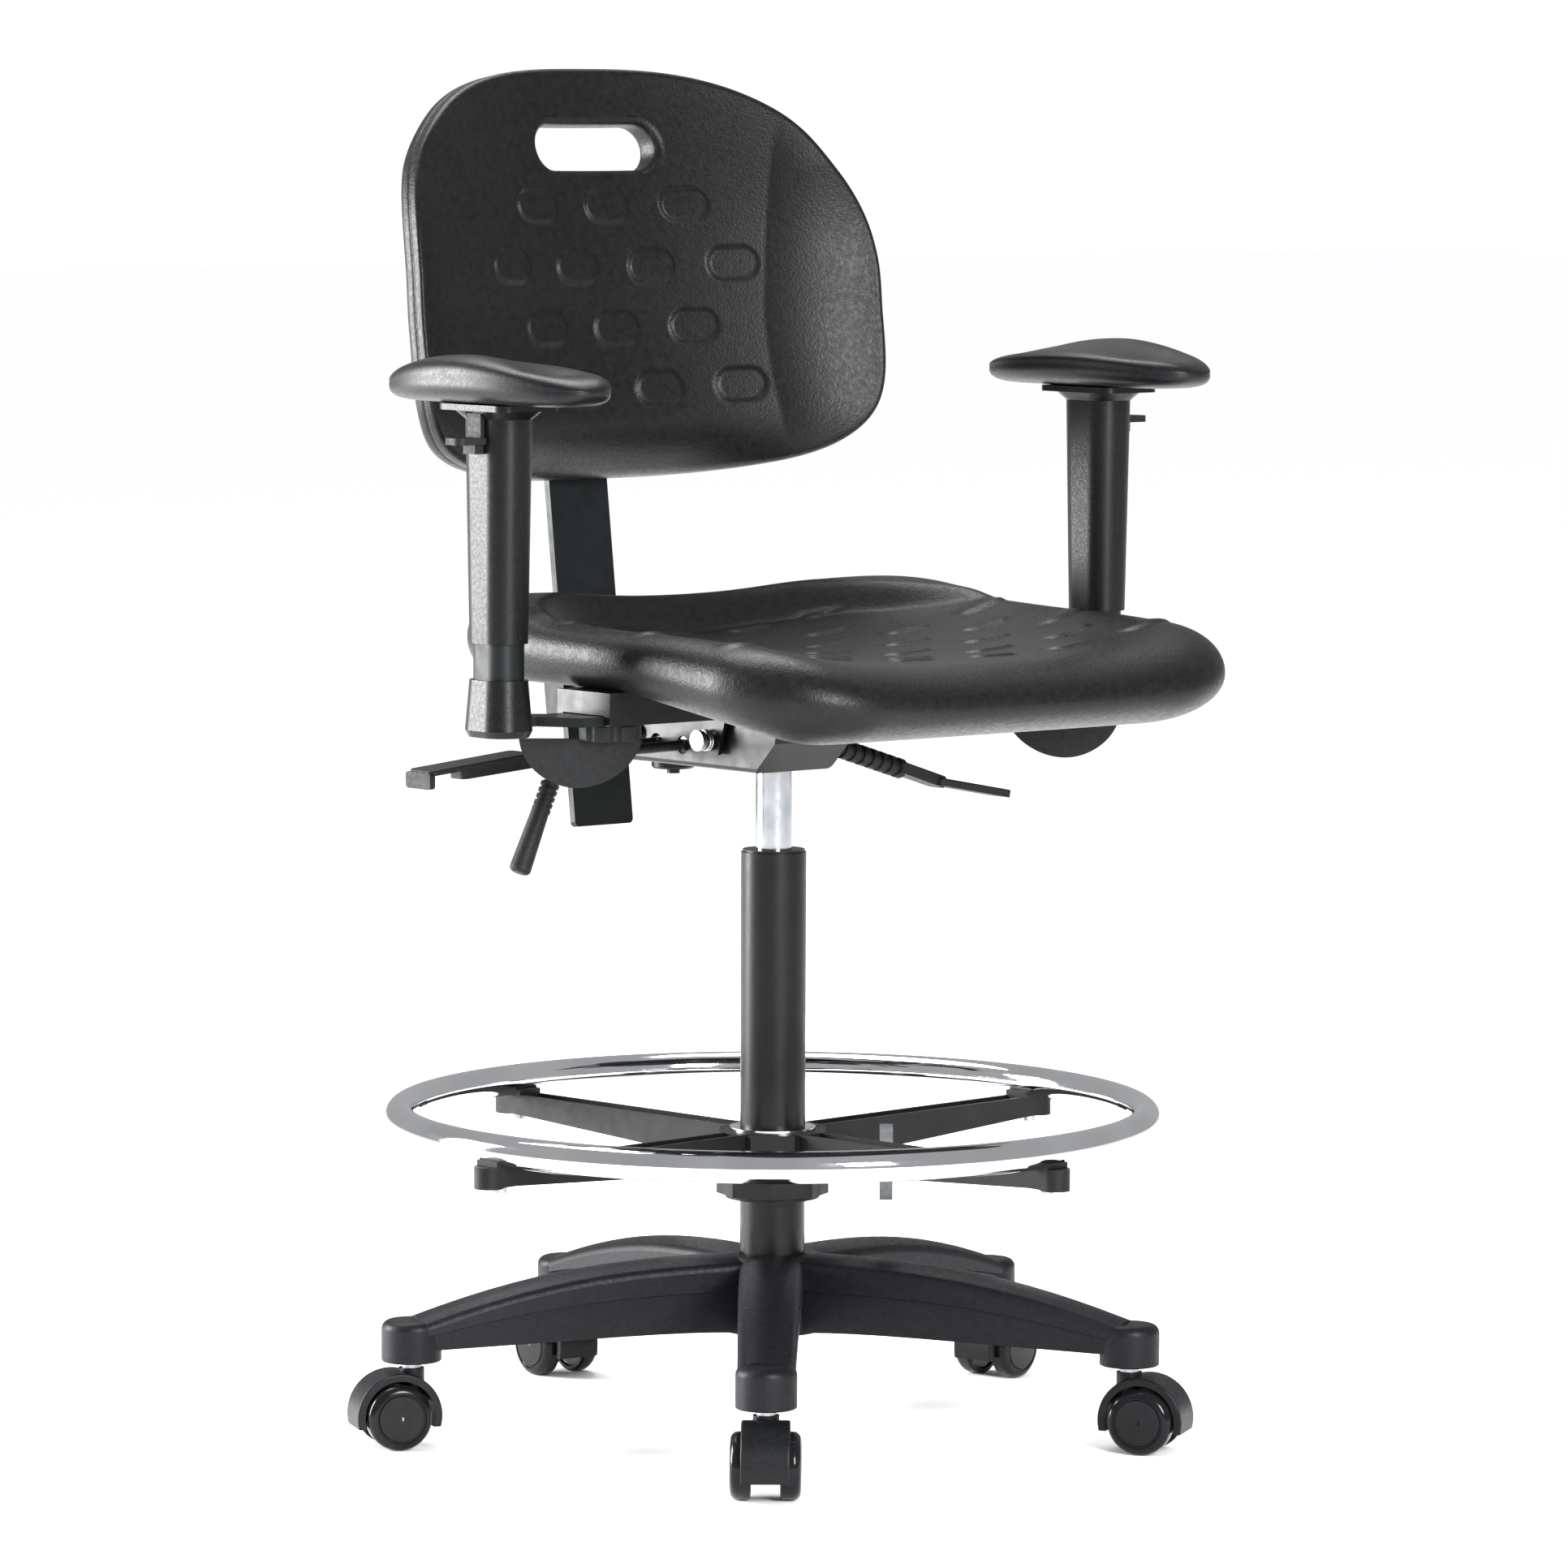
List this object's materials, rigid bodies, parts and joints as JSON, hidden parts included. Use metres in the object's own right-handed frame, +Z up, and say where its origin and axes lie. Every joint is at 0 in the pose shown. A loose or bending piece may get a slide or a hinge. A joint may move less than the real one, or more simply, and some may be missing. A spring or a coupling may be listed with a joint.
{
  "type": "drafting chair",
  "caption": "Drafting chair with moulded seat and back, adjustable arms, lever mechanism, gas column, chromed foot ring and a star base on twin-wheel casters.",
  "frame": {"origin": "on the floor, under the axis of the column", "axes": "+Z up; the sitter faces -Y, so +X is the sitter's left"},
  "size_m": [0.682, 0.6377, 1.0423],
  "materials": {
    "moulded_pu": "integral-skin polyurethane, fine pebble grain, satin",
    "pad_pu": "soft moulded polyurethane, smooth satin",
    "base_nylon": "glass-filled nylon, pebble grain",
    "arm_plastic": "moulded plastic, satin",
    "handle_plastic": "moulded plastic, matt dark grey",
    "knob_grey": "moulded plastic, grey",
    "wheel_nylon": "polished nylon rim, matt hub disc",
    "hood_nylon": "moulded nylon, fine grain",
    "black_tube": "black powder coat, satin",
    "black_steel": "black powder coat, satin",
    "bar_steel": "dark green-black paint, satin",
    "chrome": "bright chromium plate",
    "bright_steel": "ground bright steel",
    "zinc_steel": "zinc-plated steel"
  },
  "bodies": {
    "base": {"base_star": "base_nylon", "caster_stems": "zinc_steel", "column_tube": "black_tube", "column_bush": "arm_plastic", "column_bearing": "zinc_steel"},
    "ring_collar": {"spider_bush": "chrome"},
    "foot_ring": {"foot_ring": "chrome", "foot_ring_spider": "black_steel", "foot_ring_screws": "zinc_steel"},
    "clamp_knob": {"clamp_knob": "knob_grey"},
    "rod": {"piston_rod": "bright_steel"},
    "lift": {"gas_cylinder": "bright_steel", "mechanism_housing": "black_steel", "pivot_pins": "zinc_steel", "tilt_springs": "zinc_steel"},
    "tension_knob": {"tension_knob": "handle_plastic"},
    "release_pin": {"release_pin": "zinc_steel"},
    "height_lever": {"height_lever": "arm_plastic"},
    "seat_angle_lever": {"seat_angle_lever": "arm_plastic"},
    "back_angle_lever": {"back_angle_lever": "arm_plastic"},
    "seat": {"seat": "moulded_pu", "seat_plate": "black_steel", "seat_screws": "zinc_steel"},
    "back_bracket": {"back_bracket": "black_steel"},
    "back": {"back_bar": "bar_steel", "backrest": "moulded_pu", "back_screws": "zinc_steel"},
    "back_height_knob": {"back_height_knob": "arm_plastic"},
    "left_arm": {"left_arm_bar": "black_steel", "left_arm_boot": "arm_plastic"},
    "left_armrest": {"left_arm_sleeve": "arm_plastic", "left_arm_pad": "pad_pu"},
    "left_arm_button": {"left_arm_button": "handle_plastic"},
    "left_width_clamp": {"left_width_clamp": "handle_plastic"},
    "right_arm": {"right_arm_bar": "black_steel", "right_arm_boot": "arm_plastic"},
    "right_armrest": {"right_arm_sleeve": "arm_plastic", "right_arm_pad": "pad_pu"},
    "right_arm_button": {"right_arm_button": "handle_plastic"},
    "right_width_clamp": {"right_width_clamp": "handle_plastic"},
    "caster_1": {"caster_1_hood": "hood_nylon", "caster_1_axle": "zinc_steel"},
    "caster_1_wheel_left": {"caster_1_wheel_left": "wheel_nylon"},
    "caster_1_wheel_right": {"caster_1_wheel_right": "wheel_nylon"},
    "caster_2": {"caster_2_hood": "hood_nylon", "caster_2_axle": "zinc_steel"},
    "caster_2_wheel_left": {"caster_2_wheel_left": "wheel_nylon"},
    "caster_2_wheel_right": {"caster_2_wheel_right": "wheel_nylon"},
    "caster_3": {"caster_3_hood": "hood_nylon", "caster_3_axle": "zinc_steel"},
    "caster_3_wheel_left": {"caster_3_wheel_left": "wheel_nylon"},
    "caster_3_wheel_right": {"caster_3_wheel_right": "wheel_nylon"},
    "caster_4": {"caster_4_hood": "hood_nylon", "caster_4_axle": "zinc_steel"},
    "caster_4_wheel_left": {"caster_4_wheel_left": "wheel_nylon"},
    "caster_4_wheel_right": {"caster_4_wheel_right": "wheel_nylon"},
    "caster_5": {"caster_5_hood": "hood_nylon", "caster_5_axle": "zinc_steel"},
    "caster_5_wheel_left": {"caster_5_wheel_left": "wheel_nylon"},
    "caster_5_wheel_right": {"caster_5_wheel_right": "wheel_nylon"}
  },
  "joints": [
    {"name": "swivel", "type": "hinge", "parent": "base", "child": "rod", "pos_m": [0, 0, 0.1], "axis": [0, 0, 1], "continuous": true},
    {"name": "seat_height", "type": "slide", "parent": "rod", "child": "lift", "axis": [0, 0, 1], "range_m": [-0.045, 0.2]},
    {"name": "seat_angle", "type": "hinge", "parent": "lift", "child": "seat", "pos_m": [0, 0.024, 0.531], "axis": [1, 0, 0], "range_deg": [-6, 4]},
    {"name": "back_angle", "type": "hinge", "parent": "lift", "child": "back_bracket", "pos_m": [0, 0.118, 0.53], "axis": [1, 0, 0], "range_deg": [-15, 5]},
    {"name": "back_height", "type": "slide", "parent": "back_bracket", "child": "back", "axis": [0, 0.1253, 0.9921], "range_m": [-0.02, 0.06]},
    {"name": "foot_ring_height", "type": "slide", "parent": "base", "child": "ring_collar", "axis": [0, 0, 1], "range_m": [-0.03, 0.18]},
    {"name": "foot_ring_turn", "type": "hinge", "parent": "ring_collar", "child": "foot_ring", "pos_m": [0, 0, 0.2423], "axis": [0, 0, 1], "continuous": true},
    {"name": "clamp_knob_turn", "type": "hinge", "parent": "foot_ring", "child": "clamp_knob", "pos_m": [0.06128, -0.05142, 0.206], "axis": [0.766, -0.6428, 0], "range_deg": [0, 540]},
    {"name": "left_arm_width", "type": "slide", "parent": "seat", "child": "left_arm", "axis": [1, 0, 0], "range_m": [-0.015, 0.04]},
    {"name": "left_arm_height", "type": "slide", "parent": "left_arm", "child": "left_armrest", "axis": [0, 0, 1], "range_m": [-0.025, 0.065]},
    {"name": "left_arm_button_press", "type": "hinge", "parent": "left_armrest", "child": "left_arm_button", "pos_m": [0.3175, -0.039, 0.787], "axis": [0, -1, 0], "range_deg": [0, 12], "stiffness_Nm_per_rad": 0.3},
    {"name": "left_width_clamp_turn", "type": "hinge", "parent": "seat", "child": "left_width_clamp", "pos_m": [0.21, -0.062, 0.55], "axis": [0, 0, 1], "range_deg": [0, 90]},
    {"name": "right_arm_width", "type": "slide", "parent": "seat", "child": "right_arm", "axis": [-1, 0, 0], "range_m": [-0.015, 0.04]},
    {"name": "right_arm_height", "type": "slide", "parent": "right_arm", "child": "right_armrest", "axis": [0, 0, 1], "range_m": [-0.025, 0.065]},
    {"name": "right_arm_button_press", "type": "hinge", "parent": "right_armrest", "child": "right_arm_button", "pos_m": [-0.3175, -0.039, 0.787], "axis": [0, 1, 0], "range_deg": [0, 12], "stiffness_Nm_per_rad": 0.3},
    {"name": "right_width_clamp_turn", "type": "hinge", "parent": "seat", "child": "right_width_clamp", "pos_m": [-0.21, -0.062, 0.55], "axis": [0, 0, 1], "range_deg": [0, 90]},
    {"name": "height_lever_lift", "type": "hinge", "parent": "lift", "child": "height_lever", "pos_m": [0.037, -0.02, 0.527], "axis": [0, -1, 0], "range_deg": [0, 6], "stiffness_Nm_per_rad": 4},
    {"name": "release_pin_press", "type": "slide", "parent": "lift", "child": "release_pin", "axis": [0, 0, -1], "range_m": [0, 0.0042]},
    {"name": "seat_angle_lever_lift", "type": "hinge", "parent": "lift", "child": "seat_angle_lever", "pos_m": [-0.037, 0.096, 0.524], "axis": [0, 1, 0], "range_deg": [0, 9]},
    {"name": "back_angle_lever_lift", "type": "hinge", "parent": "lift", "child": "back_angle_lever", "pos_m": [-0.037, 0.064, 0.524], "axis": [0, 1, 0], "range_deg": [0, 9]},
    {"name": "back_height_knob_turn", "type": "hinge", "parent": "back_bracket", "child": "back_height_knob", "pos_m": [0, 0.2233, 0.555], "axis": [0, 0.9921, -0.1253], "range_deg": [0, 360]},
    {"name": "tension_knob_turn", "type": "hinge", "parent": "lift", "child": "tension_knob", "pos_m": [0.002, 0.124, 0.503], "axis": [0, 0, -1], "range_deg": [0, 360]},
    {"name": "caster_1_swivel", "type": "hinge", "parent": "base", "child": "caster_1", "pos_m": [-0.18635, -0.21643, 0.05], "axis": [0, 0, 1], "continuous": true},
    {"name": "caster_2_swivel", "type": "hinge", "parent": "base", "child": "caster_2", "pos_m": [0.14825, -0.24411, 0.05], "axis": [0, 0, 1], "continuous": true},
    {"name": "caster_3_swivel", "type": "hinge", "parent": "base", "child": "caster_3", "pos_m": [0.27797, 0.06556, 0.05], "axis": [0, 0, 1], "continuous": true},
    {"name": "caster_4_swivel", "type": "hinge", "parent": "base", "child": "caster_4", "pos_m": [0.02355, 0.28463, 0.05], "axis": [0, 0, 1], "continuous": true},
    {"name": "caster_5_swivel", "type": "hinge", "parent": "base", "child": "caster_5", "pos_m": [-0.26342, 0.11035, 0.05], "axis": [0, 0, 1], "continuous": true},
    {"name": "caster_1_wheel_left_spin", "type": "hinge", "parent": "caster_1", "child": "caster_1_wheel_left", "pos_m": [-0.19549, -0.22703, 0.025], "axis": [0.7578, -0.6525, 0], "continuous": true},
    {"name": "caster_1_wheel_right_spin", "type": "hinge", "parent": "caster_1", "child": "caster_1_wheel_right", "pos_m": [-0.19549, -0.22703, 0.025], "axis": [0.7578, -0.6525, 0], "continuous": true},
    {"name": "caster_2_wheel_left_spin", "type": "hinge", "parent": "caster_2", "child": "caster_2_wheel_left", "pos_m": [0.15551, -0.25608, 0.025], "axis": [0.8547, 0.5191, 0], "continuous": true},
    {"name": "caster_2_wheel_right_spin", "type": "hinge", "parent": "caster_2", "child": "caster_2_wheel_right", "pos_m": [0.15551, -0.25608, 0.025], "axis": [0.8547, 0.5191, 0], "continuous": true},
    {"name": "caster_3_wheel_left_spin", "type": "hinge", "parent": "caster_3", "child": "caster_3_wheel_left", "pos_m": [0.2916, 0.06877, 0.025], "axis": [-0.2295, 0.9733, 0], "continuous": true},
    {"name": "caster_3_wheel_right_spin", "type": "hinge", "parent": "caster_3", "child": "caster_3_wheel_right", "pos_m": [0.2916, 0.06877, 0.025], "axis": [-0.2295, 0.9733, 0], "continuous": true},
    {"name": "caster_4_wheel_left_spin", "type": "hinge", "parent": "caster_4", "child": "caster_4_wheel_left", "pos_m": [0.02471, 0.29858, 0.025], "axis": [-0.9966, 0.0825, 0], "continuous": true},
    {"name": "caster_4_wheel_right_spin", "type": "hinge", "parent": "caster_4", "child": "caster_4_wheel_right", "pos_m": [0.02471, 0.29858, 0.025], "axis": [-0.9966, 0.0825, 0], "continuous": true},
    {"name": "caster_5_wheel_left_spin", "type": "hinge", "parent": "caster_5", "child": "caster_5_wheel_left", "pos_m": [-0.27633, 0.11576, 0.025], "axis": [-0.3864, -0.9223, 0], "continuous": true},
    {"name": "caster_5_wheel_right_spin", "type": "hinge", "parent": "caster_5", "child": "caster_5_wheel_right", "pos_m": [-0.27633, 0.11576, 0.025], "axis": [-0.3864, -0.9223, 0], "continuous": true}
  ],
  "couplings": [
    {"joint": "release_pin_press", "follows": "height_lever_lift", "m_per_rad": 0.0375}
  ]
}
